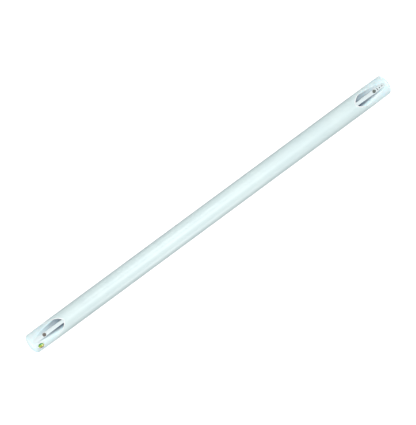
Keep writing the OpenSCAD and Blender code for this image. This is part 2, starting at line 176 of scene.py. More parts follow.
HEAD = End(-1, 61.5, 26.5, 5.2)
GRIP = End(1, 59.0, 25.3, 4.8)


# ---- node helpers ----

def linear(hex_colour):
    """sRGB hex to linear RGBA."""
    parts = [int(hex_colour[i:i + 2], 16) / 255 for i in (1, 3, 5)]
    return [c / 12.92 if c <= 0.04045 else ((c + 0.055) / 1.055) ** 2.4 for c in parts] + [1.0]


def add_node(tree, kind, inputs=None, **settings):
    """Adds a node; each input is a value, or a socket to link from."""
    node = tree.nodes.new(kind)
    for name, value in settings.items():
        setattr(node, name, value)
    for key, value in (inputs or {}).items():
        if isinstance(value, bpy.types.NodeSocket):
            tree.links.new(value, node.inputs[key])
        else:
            node.inputs[key].default_value = value
    return node


def new_material(name):
    """A material, its tree, its Principled shader and its Object coordinates."""
    material = bpy.data.materials.new(name)
    material.use_nodes = True
    tree = material.node_tree
    shader = tree.nodes["Principled BSDF"]
    coords = add_node(tree, "ShaderNodeTexCoord").outputs["Object"]
    return material, tree, shader, coords


def grain(tree, coords, size_mm, detail=2.0, stretch=(1, 1, 1)):
    """Noise whose spots are about size_mm across."""
    mapping = add_node(tree, "ShaderNodeMapping", {"Vector": coords, "Scale": stretch})
    noise = add_node(tree, "ShaderNodeTexNoise",
                     {"Vector": mapping.outputs[0], "Scale": 1 / (size_mm * MM), "Detail": detail})
    return noise.outputs["Fac"]


def mixed_colour(tree, factor, first, second, low=0.35, high=0.65):
    ramp = add_node(tree, "ShaderNodeValToRGB", {"Fac": factor})
    ramp.color_ramp.elements[0].position = low
    ramp.color_ramp.elements[0].color = linear(first)
    ramp.color_ramp.elements[1].position = high
    ramp.color_ramp.elements[1].color = linear(second)
    return ramp.outputs["Color"]


def ranged(tree, factor, low, high):
    mapped = add_node(tree, "ShaderNodeMapRange", {"Value": factor, "From Min": 0.3, "From Max": 0.7,
                                                   "To Min": low, "To Max": high})
    return mapped.outputs["Result"]


def bump(tree, height, depth_mm, strength=1.0):
    return add_node(tree, "ShaderNodeBump",
                    {"Height": height, "Distance": depth_mm * MM, "Strength": strength}).outputs["Normal"]


def set_shader(tree, shader, **sockets):
    for name, value in sockets.items():
        key = name.replace("_", " ")
        if isinstance(value, bpy.types.NodeSocket):
            tree.links.new(value, shader.inputs[key])
        else:
            shader.inputs[key].default_value = value


# ---- materials ----

def powder_coated_aluminium():
    # Drawn tube under a satin white powder coat: a faint orange peel and a faint cool tint.
    material, tree, shader, coords = new_material("powder-coated aluminium, satin white")
    peel = grain(tree, coords, 0.9)
    cloud = grain(tree, coords, 26, 3)
    speck = grain(tree, coords, 0.25, 0)
    set_shader(tree, shader, Base_Color=mixed_colour(tree, cloud, "#daeced", "#deefef"),
               Roughness=ranged(tree, speck, 0.34, 0.44), Normal=bump(tree, peel, 0.012), IOR=1.5)
    return material


def frosted_acrylic_with_painted_shade():
    # Injection-moulded acrylic with a frosted skin: light gets a few millimetres in and comes back pale blue.
    material, tree, shader, coords = new_material("moulded acrylic, frosted pale blue, painted shade and glow")
    frost = grain(tree, coords, 0.3, 3)
    cloud = grain(tree, coords, 9, 2)
    split = add_node(tree, "ShaderNodeSeparateXYZ", {"Vector": coords}).outputs
    across = add_node(tree, "ShaderNodeCombineXYZ", {"Y": split["Y"], "Z": split["Z"]})
    reach_from_axis = add_node(tree, "ShaderNodeVectorMath", {0: across.outputs[0]}, operation="LENGTH")
    outward = add_node(tree, "ShaderNodeMath", {0: split["X"]}, operation="ABSOLUTE").outputs[0]

    def unshaded_share(dark_r, unshaded_r, least):
        """Rises from least to 1 between two distances from the cane's axis; below 1 the painted shade shows.
        """
        return add_node(tree, "ShaderNodeMapRange", {
            "Value": reach_from_axis.outputs["Value"], "From Min": dark_r, "From Max": unshaded_r, "To Min": least},
            interpolation_type="SMOOTHSTEP").outputs["Result"]

    def along(near_arch, near_tip):
        return add_node(tree, "ShaderNodeMapRange", {
            "Value": outward, "From Min": SHADE_FROM * MM, "From Max": SHADE_TO * MM, "To Min": near_arch,
            "To Max": near_tip}).outputs["Result"]

    # Painted shade in the scoops, standing in for the shadows of the spine and the barrel's edge: dark beside
    # the spine on its lens side, and over the whole wall on its other side, most near the arch's top.
    far_side = add_node(tree, "ShaderNodeMath", {0: split["Y"], 1: 0.0},
                        operation="GREATER_THAN").outputs[0]
    shade_beside_spine = unshaded_share(along(6.7 * MM, 13.2 * MM), along(12.5 * MM, 14.6 * MM), along(0.0, 0.55))
    shade_over_wall = unshaded_share(along(13.4 * MM, 14.2 * MM), along(15 * MM, 14.9 * MM), along(0.28, 0.9))
    scoops = add_node(tree, "ShaderNodeMix", {"Factor": far_side, "A": shade_beside_spine, "B": shade_over_wall},
                      data_type="FLOAT")
    # The solid end beyond the scoop has no painted shade.
    solid_end = add_node(tree, "ShaderNodeMapRange", {
        "Value": outward, "From Min": SHADE_TO * MM, "From Max": SHADE_ENDS * MM})
    clear = add_node(tree, "ShaderNodeMath", {0: scoops.outputs["Result"], 1: solid_end.outputs["Result"]},
                     operation="MAXIMUM")
    # painted shade: the nose's colour turns dark blue-grey where the shadows of the spine and the barrel's
    # edge would fall
    painted_shade_colour = mixed_colour(tree, clear.outputs[0], "#46526a", "#dbe9eb", 0.0, 1.0)
    cloudy = mixed_colour(tree, cloud, "#ecf6f7", "#f4fbfc")
    mottled_with_painted_shade = add_node(tree, "ShaderNodeMix", {"Factor": 0.5, "A": painted_shade_colour, "B": cloudy},
                       data_type="RGBA", blend_type="MULTIPLY")
    set_shader(tree, shader, Base_Color=mottled_with_painted_shade.outputs["Result"],
               Roughness=ranged(tree, frost, 0.42, 0.55), Normal=bump(tree, frost, 0.006))
    # Light that has travelled along inside the clear plastic leaves again through the subsurface setting; on
    # top of that a faint painted glow of the nose's own colour, painted shade included, is given off all over
    # the skin, though it is no lamp.
    set_shader(tree, shader, IOR=1.49, Subsurface_Weight=0.55, Subsurface_Scale=0.004,
               Subsurface_Radius=(0.6, 0.9, 1.0), Emission_Color=mottled_with_painted_shade.outputs["Result"],
               # painted glow: the nose emits light of its own colour
               Emission_Strength=0.24)
    return material


def silicone(name, light, dark, grain_mm=0.4, roughness=(0.42, 0.55)):
    # Moulded silicone: soft, slightly dusty and even.
    material, tree, shader, coords = new_material(name)
    dust = grain(tree, coords, grain_mm, 3)
    set_shader(tree, shader, Base_Color=mixed_colour(tree, dust, dark, light),
               Roughness=ranged(tree, dust, *roughness), Normal=bump(tree, dust, 0.01), IOR=1.41)
    return material


def moulded_abs(name, light, dark, roughness=(0.3, 0.4), grain_mm=0.5, grain_depth=0.006, coat=0.0):
    # Injection-moulded ABS: an even colour with the fine grain of the mould.
    material, tree, shader, coords = new_material(name)
    spark = grain(tree, coords, grain_mm, 2)
    flow = grain(tree, coords, 12, 2, (0.3, 1, 1))
    set_shader(tree, shader, Base_Color=mixed_colour(tree, flow, dark, light),
               Roughness=ranged(tree, spark, *roughness), Normal=bump(tree, spark, grain_depth),
               IOR=1.53, Coat_Weight=coat, Coat_Roughness=0.05)
    return material


def coated_glass():
    # Ground glass with an anti-reflection coating; the coating's coloured reflection, which turns from teal
    # through green and yellow to brown, is painted into the glass as a fixed gradient across the lens.
    material, tree, shader, coords = new_material("coated optical glass")
    across = add_node(tree, "ShaderNodeSeparateXYZ", {"Vector": coords}).outputs["Y"]
    low, high = [v[1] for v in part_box("front_lens")]
    place = add_node(tree, "ShaderNodeMapRange", {"Value": across, "From Min": low, "From Max": high})
    smear = add_node(tree, "ShaderNodeMath", {0: grain(tree, coords, 3.0, 1), 1: 0.16, 2: -0.08},
                     operation="MULTIPLY_ADD")
    painted_sheen_band = add_node(tree, "ShaderNodeMath", {0: place.outputs["Result"], 1: smear.outputs[0]})
    # painted reflection: these stops stand in for the coating's coloured sheen, darker towards both edges
    ramp = add_node(tree, "ShaderNodeValToRGB", {"Fac": painted_sheen_band.outputs[0]})
    stops = ((0.0, "#4a3a1c"), (0.12, "#8f8434"), (0.28, "#d3cf58"), (0.48, "#bfe35e"),
             (0.66, "#60bb60"), (0.84, "#3a9272"), (1.0, "#2b6e68"))
    while len(ramp.color_ramp.elements) < len(stops):
        ramp.color_ramp.elements.new(0.5)
    for element, (position, colour) in zip(ramp.color_ramp.elements, stops):
        element.position = position
        element.color = linear(colour)
    set_shader(tree, shader, Base_Color=ramp.outputs["Color"], Roughness=0.08, IOR=1.52,
               Coat_Weight=1.0, Coat_Roughness=0.02)
    return material


def rolled_metal(name, light, dark, roughness=(0.22, 0.36), stretch=(0.05, 1, 1)):
    # Plated or rolled metal: fine lines along the way it was drawn.
    material, tree, shader, coords = new_material(name)
    lines = grain(tree, coords, 0.2, 3, stretch)
    set_shader(tree, shader, Base_Color=mixed_colour(tree, lines, dark, light),
               Roughness=ranged(tree, lines, *roughness), Normal=bump(tree, lines, 0.003), Metallic=1.0)
    return material


def circuit_board():
    # Green solder mask over woven glass fibre, with copper tracks showing lighter through it.
    material, tree, shader, coords = new_material("glass-fibre board, green solder mask")
    tracks = add_node(tree, "ShaderNodeTexBrick", {
        "Vector": coords, "Scale": 1 / (2.4 * MM), "Mortar Size": 0.06, "Brick Width": 1.7, "Row Height": 0.5,
        "Color1": linear("#155a36"), "Color2": linear("#1a6a40"), "Mortar": linear("#2f8a58")})
    weave = grain(tree, coords, 0.3, 2)
    set_shader(tree, shader, Base_Color=tracks.outputs["Color"], Roughness=ranged(tree, weave, 0.25, 0.4),
               Normal=bump(tree, tracks.outputs["Fac"], 0.03), IOR=1.55)
    return material


def pale_floor():
    # Matt studio paper: white to the camera, grey to the cane so that it throws back little light.
    material, tree, shader, coords = new_material("matt studio paper")
    fibre = grain(tree, coords, 2, 3)
    set_shader(tree, shader, Base_Color=mixed_colour(tree, fibre, "#9a9d9e", "#a0a3a4"), Roughness=0.9)
    seen = add_node(tree, "ShaderNodeLightPath").outputs["Is Camera Ray"]
    set_shader(tree, shader, Emission_Color=linear("#ffffff"), Emission_Strength=seen)
    return material


FINISH = {
    "white_tube": powder_coated_aluminium(),
    "frosted_nose": frosted_acrylic_with_painted_shade(),
    "white_seal": silicone("moulded silicone, bright white", "#ffffff", "#f6fbfb", roughness=(0.35, 0.5)),
    "white_spine": moulded_abs("moulded ABS, satin white", "#dfecee", "#d9e7e9"),
    "brown_grey_button": silicone("moulded silicone, brownish grey", "#77716a", "#68625c", 0.35),
    "green_grey_button": silicone("moulded silicone, greenish grey", "#6b7671", "#5f6965", 0.35),
    "dark_window": moulded_abs("moulded acrylic, smoked", "#2f2d36", "#26242c", (0.12, 0.2), 1.2, 0.002, 0.6),
    "white_bezel": moulded_abs("moulded ABS, gloss white", "#f6fbfb", "#eef6f6", (0.1, 0.18), 1.0, 0.002,
                               0.4),
    "coated_lens": coated_glass(),
    "black_barrel": moulded_abs("moulded nylon, black", "#161616", "#0e0e0e", (0.45, 0.6)),
    "chip_black": moulded_abs("moulded epoxy, black", "#1c1c1e", "#121214", (0.5, 0.65), 0.2),
    "green_board": circuit_board(),
    "amber_ribbon": moulded_abs("polyimide film, amber", "#b4661c", "#94500f", (0.2, 0.3), 2.0, 0.002),
    "switch_grey": moulded_abs("moulded nylon, grey", "#6a6a6a", "#585858", (0.4, 0.5)),
    "plunger_black": moulded_abs("moulded nylon, dark", "#232323", "#191919", (0.35, 0.5)),
    "spring_steel": rolled_metal("spring steel, bright rolled", "#d6d0c4", "#b5afa4"),
    "ivory_plastic": moulded_abs("moulded nylon, ivory", "#e2ddc9", "#d5cfb9", (0.35, 0.5)),
    "black_rubber": silicone("nitrile rubber, black", "#242424", "#181818", 0.3),
    "plated_steel": rolled_metal("steel, nickel plated", "#cfccc6", "#b0ada8"),
    "cell_can": rolled_metal("steel can, nickel plated and drawn", "#d2d0cc", "#b6b4b0"),
    "grey_rail": moulded_abs("moulded nylon, pale grey", "#a3a7a9", "#93989a", (0.45, 0.6)),
    "blue_wrap": moulded_abs("shrink sleeve, blue", "#2f66a8", "#255590", (0.18, 0.3), 3.0, 0.004),
    "weight_metal": rolled_metal("sintered tungsten alloy", "#8a8781", "#6d6a65", (0.4, 0.55), (1, 1, 1)),
    "red_lead": silicone("wire insulation, red", "#b02020", "#8f1616", 0.6, (0.3, 0.4)),
    "black_lead": silicone("wire insulation, black", "#1e1e1e", "#141414", 0.6, (0.3, 0.4)),
}
SLOT_OF = {part["node"]: part["material_slot"] for part in frame["record"]["subparts"]}
BODY_OF = {node: body for body, nodes in frame["record"]["behaviour"]["bodies"].items() for node in nodes}


# ---- mesh helpers ----

def solid_mesh(name, vertices, faces):
    """A mesh whose faces all look outwards."""
    mesh = bpy.data.meshes.new(name)
    mesh.from_pydata([tuple(map(float, v)) for v in vertices], [], faces)
    work = bmesh.new()
    work.from_mesh(mesh)
    bmesh.ops.recalc_face_normals(work, faces=work.faces)
    work.to_mesh(mesh)
    work.free()
    return mesh


def piece_from(name, vertices, faces, nodes):
    finish_piece(name, solid_mesh(name, vertices, faces), nodes, 35.0)


def finish_piece(name, mesh, nodes, smooth_angle):
    """A finished piece that stands for the CAD nodes given, with its body, slot and finish."""
    work = bmesh.new()
    work.from_mesh(mesh)
    bmesh.ops.remove_doubles(work, verts=work.verts, dist=1e-7)
    bmesh.ops.recalc_face_normals(work, faces=work.faces)
    work.to_mesh(mesh)
    work.free()
    mesh.shade_smooth()
    mesh.set_sharp_from_angle(angle=math.radians(smooth_angle))
    mesh.materials.clear()
    mesh.materials.append(FINISH[SLOT_OF[nodes[0]]])
    piece = bpy.data.objects.new(name, mesh)
    bpy.context.scene.collection.objects.link(piece)
    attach(piece, BODY_OF[nodes[0]])
    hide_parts(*nodes)


def skin(rows, close_start=None, close_end=None, loop=False):
    """Quads between closed rings of equal length, with an optional centre point at either end."""
    count = len(rows[0])
    vertices = [point for row in rows for point in row]
    faces = []
    pairs = list(zip(range(len(rows) - 1), range(1, len(rows))))
    if loop:
        pairs.append((len(rows) - 1, 0))
    for low, high in pairs:
        for k in range(count):
            m = (k + 1) % count
            faces.append((low * count + k, low * count + m, high * count + m, high * count + k))
    for centre, row in ((close_start, 0), (close_end, len(rows) - 1)):
        if centre is not None:
            vertices.append(centre)
            hub = len(vertices) - 1
            faces += [(row * count + k, row * count + (k + 1) % count, hub) for k in range(count)]
    return vertices, faces


def turned(profile, place, segments=96):
    """A turned solid: profile is (radius, height) from the axis out and back, place puts it on the cane."""
    turns = np.linspace(0, 2 * math.pi, segments, endpoint=False)
    rows = []
    for radius, height in profile[1:-1]:
        rows.append([place @ Vector((radius * math.cos(t) * MM, radius * math.sin(t) * MM, height * MM))
                     for t in turns])
    start = place @ Vector((0, 0, profile[0][1] * MM))
    end = place @ Vector((0, 0, profile[-1][1] * MM))
    return skin(rows, start, end)


def rounded(corner, radius, start, sweep, steps=6):
    """Points on a corner's arc about a centre, angles in degrees."""
    angles = [math.radians(start + sweep * i / steps) for i in range(steps + 1)]
    return [(corner[0] + radius * math.cos(a), corner[1] + radius * math.sin(a)) for a in angles]


def cut_with(mesh, cutters):
    """The mesh with each cutter's (vertices, faces) taken out of it."""
    body = bpy.data.objects.new("cut", mesh)
    bpy.context.scene.collection.objects.link(body)
    tools = []
    for vertices, faces in cutters:
        tool = bpy.data.objects.new("tool", solid_mesh("tool", vertices, faces))
        bpy.context.scene.collection.objects.link(tool)
        tools.append(tool)
        modifier = body.modifiers.new("cut", "BOOLEAN")
        modifier.operation = "DIFFERENCE"
        modifier.solver = "EXACT"
        modifier.object = tool
    bpy.context.view_layer.update()
    result = bpy.data.meshes.new_from_object(body.evaluated_get(bpy.context.evaluated_depsgraph_get()))
    for item in [body, *tools]:
        bpy.data.objects.remove(item)
    return result


def soft_min(a, b, blend):
    """The smaller of the two, blended where they are close."""
    h = np.clip(0.5 + 0.5 * (b - a) / blend, 0, 1)
    return b + (a - b) * h - blend * h * (1 - h)


def soft_max(a, b, blend):
    return -soft_min(-a, -b, blend)


# ---- barrel and seals: rings between two slanting ends, made with Geometry Nodes ----

def slanting_ring_tree():
    tree = bpy.data.node_groups.new("slanting ring", "GeometryNodeTree")
    face = tree.interface
    face.new_socket("Geometry", in_out="INPUT", socket_type="NodeSocketGeometry")
    face.new_socket("Geometry", in_out="OUTPUT", socket_type="NodeSocketGeometry")
    for name in ("Outer Radius", "Wall", "Edge Round", "Slope", "Corner Blend",
                 "From Tip", "From Side", "From Arch", "From Lip", "To Tip", "To Side", "To Arch", "To Lip"):
        face.new_socket(name, in_out="INPUT", socket_type="NodeSocketFloat")
    face.new_socket("Segments", in_out="INPUT", socket_type="NodeSocketInt")
    face.new_socket("Material", in_out="INPUT", socket_type="NodeSocketMaterial")
    given = add_node(tree, "NodeGroupInput").outputs

    def math_node(operation, a, b=0.0, c=None):
        inputs = {0: a, 1: b}
        if c is not None:
            inputs[2] = c
        return add_node(tree, "ShaderNodeMath", inputs, operation=operation).outputs[0]

    def cut_at(which, z):
        """Where the ring ends on that side, for a point at height z."""
        drop = math_node("SUBTRACT", given["Outer Radius"], z)
        run = math_node("DIVIDE", drop, given["Slope"])
        slant = math_node("SUBTRACT", given[which + " Arch"], run)
        inward = math_node("SMOOTH_MAX", slant, given[which + " Lip"], given["Corner Blend"])
        return math_node("MULTIPLY_ADD", inward, math_node("MULTIPLY", given[which + " Side"], -1.0),
                         given[which + " Tip"])

    # a rounded rectangle, as long as the ring is at its top, swept round the cane's axis
    start = cut_at("From", given["Outer Radius"])
    stop = cut_at("To", given["Outer Radius"])
    length = math_node("SUBTRACT", stop, start)
    middle_r = math_node("MULTIPLY_ADD", given["Wall"], -0.5, given["Outer Radius"])
    section = add_node(tree, "GeometryNodeCurvePrimitiveQuadrilateral",
                       {"Width": given["Wall"], "Height": length})
    eased = add_node(tree, "GeometryNodeFilletCurve",
                     {"Curve": section.outputs[0], "Radius": given["Edge Round"], "Count": 5}, mode="POLY")
    circle = add_node(tree, "GeometryNodeCurvePrimitiveCircle",
                      {"Resolution": given["Segments"], "Radius": middle_r})
    swept = add_node(tree, "GeometryNodeCurveToMesh",
                     {"Curve": circle.outputs[0], "Profile Curve": eased.outputs[0]})
    along = add_node(tree, "GeometryNodeTransform",
                     {"Geometry": swept.outputs[0], "Rotation": (0, math.radians(90), 0)})
    # each point slides along the cane so that both ends follow their own cuts
    at = add_node(tree, "ShaderNodeSeparateXYZ",
                  {"Vector": add_node(tree, "GeometryNodeInputPosition").outputs[0]}).outputs
    share = math_node("DIVIDE", math_node("MULTIPLY_ADD", length, 0.5, at["X"]), length)
    first = cut_at("From", at["Z"])
    second = cut_at("To", at["Z"])
    moved = math_node("MULTIPLY_ADD", math_node("SUBTRACT", second, first), share, first)
    new_place = add_node(tree, "ShaderNodeCombineXYZ", {"X": moved, "Y": at["Y"], "Z": at["Z"]})
    placed = add_node(tree, "GeometryNodeSetPosition",
                      {"Geometry": along.outputs[0], "Position": new_place.outputs[0]})
    real = add_node(tree, "GeometryNodeRealizeInstances", {"Geometry": placed.outputs[0]})
    painted = add_node(tree, "GeometryNodeSetMaterial",
                       {"Geometry": real.outputs[0], "Material": given["Material"]})
    add_node(tree, "NodeGroupOutput", {"Geometry": painted.outputs[0]})
    return tree


def grown(tree, values, starts_from=None):
    """The plain mesh that a Geometry Nodes tree makes with these input values."""
    holder = bpy.data.objects.new("grown", starts_from or bpy.data.meshes.new("grown"))
    bpy.context.scene.collection.objects.link(holder)
    modifier = holder.modifiers.new("grown", "NODES")
    modifier.node_group = tree
    sockets = {item.name: item.identifier for item in tree.interface.items_tree
               if item.item_type == "SOCKET" and item.in_out == "INPUT"}
    for name, value in values.items():
        modifier[sockets[name]] = value
    bpy.context.view_layer.update()
    mesh = bpy.data.meshes.new_from_object(holder.evaluated_get(bpy.context.evaluated_depsgraph_get()))
    holder.modifiers.remove(modifier)
    bpy.data.objects.remove(holder)
    return mesh


RING = slanting_ring_tree()


def slanting_ring(starts, stops, outer_r, inner_r, material):
    """starts and stops are (end, arch, lip), in the order of growing x."""
    values = {"Outer Radius": outer_r * MM, "Wall": (outer_r - inner_r) * MM,
              "Edge Round": RING_EDGE_ROUND * MM, "Slope": ARCH_SLOPE, "Corner Blend": CORNER_BLEND * MM,
              "Segments": RING_SEGMENTS, "Material": material}
    for word, (end, arch, lip) in (("From", starts), ("To", stops)):
        values.update({word + " Tip": end.side * HALF_LENGTH * MM, word + " Side": float(end.side),
                       word + " Arch": arch * MM, word + " Lip": lip * MM})
    return grown(RING, values)


def mouth(end):
    """The wider stretch of bore at one end of the barrel."""
    place = (Matrix.Translation((end.side * HALF_LENGTH * MM, 0, 0))
             @ Matrix.Rotation(-end.side * math.pi / 2, 4, "Y"))
    deep = end.arch + MOUTH_PAST
    return turned([(0, -1), (MOUTH_R, -1), (MOUTH_R, deep), (0, deep)], place, RING_SEGMENTS)


def countersink(end, turn):
    """The hole for one screw through the barrel's wall, twisted so that no edge of it meets a cross line."""
    shank_r = SCREW_SHANK_R + SCREW_GAP
    head_r = SCREW_HEAD_R + SCREW_GAP
    place = (Matrix.Translation((end.x(end.arch + SCREW_INBOARD) * MM, 0, 0))
             @ Matrix.Rotation(math.pi + math.radians(turn), 4, "X") @ Matrix.Rotation(CUTTER_TWIST, 4, "Z"))
    return turned([(0, BORE_R - 1), (shank_r, BORE_R - 1), (shank_r, SCREW_FACE_R - SCREW_HEAD_H),
                   (head_r, SCREW_FACE_R), (head_r, BARREL_R + 1), (0, BARREL_R + 1)], place)


def add_cross_lines(mesh):
    """Lines round the barrel beside the screw holes, which keep its long faces apart from them."""
    work = bmesh.new()
    work.from_mesh(mesh)
    for end in (HEAD, GRIP):
        for offset in (-CROSS_LINE, CROSS_LINE):
            line_x = end.x(end.arch + SCREW_INBOARD + offset) * MM
            bmesh.ops.bisect_plane(work, geom=[*work.verts, *work.edges, *work.faces], dist=1e-7,
                                   plane_no=(1, 0, 0), plane_co=(line_x, 0, 0))
    work.to_mesh(mesh)
    work.free()


def barrel():
    tube = slanting_ring((HEAD, HEAD.arch, LIP), (GRIP, GRIP.arch, LIP), BARREL_R, BORE_R,
                         FINISH["white_tube"])
    add_cross_lines(tube)
    mouths = [mouth(end) for end in (HEAD, GRIP)]
    holes = [countersink(end, turn) for end in (HEAD, GRIP) for turn in SCREW_TURNS]
    finish_piece("barrel_tube_shell", cut_with(tube, mouths + holes), ["barrel_tube"], 30.0)


def seal(end, node):
    """A thin ring along the slanting cut, a little below the barrel's surface."""
    barrel_run = (BARREL_R - SEAL_R) / ARCH_SLOPE
    seal_run = (SEAL_RISE - (BARREL_R - SEAL_R)) / ARCH_SLOPE
    outer = (end, end.arch - seal_run - 2 * barrel_run, LIP - SEAL_T)
    inner = (end, end.arch - barrel_run, LIP)
    starts, stops = (outer, inner) if end is HEAD else (inner, outer)
    ring = slanting_ring(starts, stops, SEAL_R, MOUTH_R - MOUTH_GAP / 2, FINISH["white_seal"])
    finish_piece(node + "_shell", ring, [node], 50.0)


barrel()
seal(HEAD, "head_seal")
seal(GRIP, "grip_seal")


# ---- noses ----

def seal_edge(end, z):
    """How far in from the tip the seal begins, for a point at height z."""
    slant = end.arch - (BARREL_R + SEAL_RISE - z) / ARCH_SLOPE
    return soft_max(slant, np.full_like(slant, LIP - SEAL_T), CORNER_BLEND)


def scoop_radius(end, inward, turn):
    """Distance from the cane's axis to the scoop's floor, going out at an angle from straight up."""
    floor = end.floor(inward)
    closing = SCOOP_END + SCOOP_CLOSE - inward
    close_r = SCOOP_CLOSE ** 2 / (2 * (SCOOP_DEPTH - SCOOP_RISE * (end.arch - SCOOP_END)))
    floor = floor + np.where(closing > 0, closing ** 2 / (2 * close_r), 0)
    corner = inward - (end.arch + SCOOP_UNDER - SCOOP_CORNER)
    lift = SCOOP_CORNER - np.sqrt(np.clip(SCOOP_CORNER ** 2 - np.clip(corner, 0, SCOOP_CORNER) ** 2, 0, None))
    floor = floor + lift
    centre = floor + SCOOP_R
    inside = SCOOP_R ** 2 - (centre * np.sin(turn)) ** 2
    reach = centre * np.cos(turn) - np.sqrt(np.clip(inside, 0, None))
    open_sky = (inward > end.arch + SCOOP_UNDER) | (inside < 0) | (np.cos(turn) < 0.3)
    return np.where(open_sky, NO_LIMIT, reach)


def nose_columns():
    """Angles round the nose, closer together across the scoop."""
    dense = np.linspace(-SCOOP_TURN, SCOOP_TURN, 165)
    rest = np.linspace(SCOOP_TURN, 360 - SCOOP_TURN, 84)[1:-1]
    return np.radians(np.concatenate([dense, rest]))


def nose_shell(end, node, holes):
    """Rings from the tip along the outside, over the plug's end and back along the cavity."""
    turn = nose_columns()
    up = np.cos(turn)
    side = np.sin(turn)
    flat_turn = math.asin(TIP_FLAT_R / NOSE_R)
    drop = DOME_LENGTH * (1 - math.cos(flat_turn))
    rows = []

    def ring(inward, radius, scooped=True, blend=0.5):
        inward = np.broadcast_to(np.asarray(inward, float), turn.shape)
        radius = np.broadcast_to(np.asarray(radius, float), turn.shape)
        if scooped:
            radius = soft_min(radius, scoop_radius(end, inward, turn), blend)
        rows.append(end.place(inward, radius * side, radius * up))

    for radius in (TIP_FLAT_R / 2, TIP_FLAT_R):
        ring(0, radius, False)
    for angle in np.linspace(flat_turn, math.pi / 2, 29)[1:]:
        ring(DOME_LENGTH * (1 - math.cos(angle)) - drop, NOSE_R * math.sin(angle))
    start = DOME_LENGTH - drop
    edge = np.maximum(seal_edge(end, NOSE_R * up), start + TINY_STEP)
    for share in np.linspace(0, 1, 141)[1:]:
        ring(start + share * (edge - start), NOSE_R)
    under_r = MOUTH_R - MOUTH_GAP
    ring(edge, under_r, True, 0.2)
    under = end.arch + SCOOP_UNDER + 1.4
    for share in np.linspace(0, 1, 41)[1:]:
        ring(edge + share * (under - edge), under_r, True, 0.2)
    shoulder = end.arch + MOUTH_PAST - MOUTH_GAP
    ring(under + TINY_STEP, under_r, False)
    ring(shoulder, under_r, False)
    ring(shoulder, PLUG_R, False)
    last = end.arch + PLUG_LENGTH
    for inward in np.linspace(shoulder + 0.05, last - PLUG_CHAMFER, 9):
        ring(inward, PLUG_R, False)
    ring(last, PLUG_R - PLUG_CHAMFER, False)
    ring(last, CAVITY_R, False)
    for inward in np.linspace(last, CAVITY_FROM, 40):
        ceiling = NO_LIMIT
        if inward < end.arch + 4:
            ceiling = end.floor(inward) - SPINE_SEAT - FLOOR_UNDER_SPINE
        roof = np.where(up > 0.05, ceiling / np.maximum(up, 0.05), NO_LIMIT)
        ring(inward, np.minimum(CAVITY_R, roof), False)
    vertices, faces = skin(rows, end.place(0.0, 0.0, 0.0), end.place(CAVITY_FROM, 0.0, 0.0))
    mesh = solid_mesh(node, vertices, faces)
    finish_piece(node + "_shell", cut_with(mesh, holes), [node], 40.0)


def upright(end, inward):
    return Matrix.Translation((end.x(inward) * MM, 0, 0))


LENS_PLACE = Matrix.Translation((HEAD.x(LENS_AT) * MM, 0, 0)) @ Matrix.Rotation(LENS_LEAN, 4, "X")


def button_hole(end):
    """The nose's hole for a button, with the pocket for its flange."""
    radius = end.button_d / 2 + BUTTON_GAP
    pocket_r = BUTTON_FLANGE_R + FLANGE_SIDE_GAP
    pocket_top = end.floor(end.button_at) - SPINE_SEAT - FLANGE_DOWN + FLANGE_TOP_GAP
    return turned([(0, 0), (pocket_r, 0), (pocket_r, pocket_top), (radius, pocket_top),
                   (radius, PAST_SURFACE), (0, PAST_SURFACE)], upright(end, end.button_at))


def bezel_hole():
    narrow_r = LENS_R - LENS_LEDGE
    wide_r = BEZEL_R + LENS_FIT
    return turned([(0, LENS_HOLE_FOOT), (narrow_r, LENS_HOLE_FOOT), (narrow_r, BEZEL_FOOT),
                   (wide_r, BEZEL_FOOT), (wide_r, PAST_SURFACE), (0, PAST_SURFACE)], LENS_PLACE)


nose_shell(HEAD, "head_nose", [button_hole(HEAD), bezel_hole()])
nose_shell(GRIP, "grip_nose", [button_hole(GRIP)])


# ---- spines ----

def spine_half_width(end, inward):
    tip_r = SPINE_W_TIP / 2
    tip_x = SCOOP_END + SPINE_START + tip_r
    taper = tip_r + (SPINE_W_APEX / 2 - tip_r) * (inward - tip_x) / (end.arch + SCOOP_UNDER - tip_x)
    nose = np.sqrt(np.clip(tip_r ** 2 - (tip_x - inward) ** 2, 0, None))
    width = np.where(inward < tip_x, nose, taper)
    boss_r = end.button_d / 2 + BOSS_WALL
    boss = np.sqrt(np.clip(boss_r ** 2 - (inward - end.button_at) ** 2, 0, None))
    return soft_max(width, boss, 0.3)


def spine_roof(end, inward):
    """Height that the seal and the barrel leave the spine under the barrel's slanting edge."""
    slanting = BARREL_R + SEAL_RISE - ARCH_SLOPE * (end.arch - inward)
    if slanting >= SEAL_R and inward > end.arch - SEAL_RISE / ARCH_SLOPE:
        return MOUTH_R - MOUTH_GAP
    return NO_LIMIT


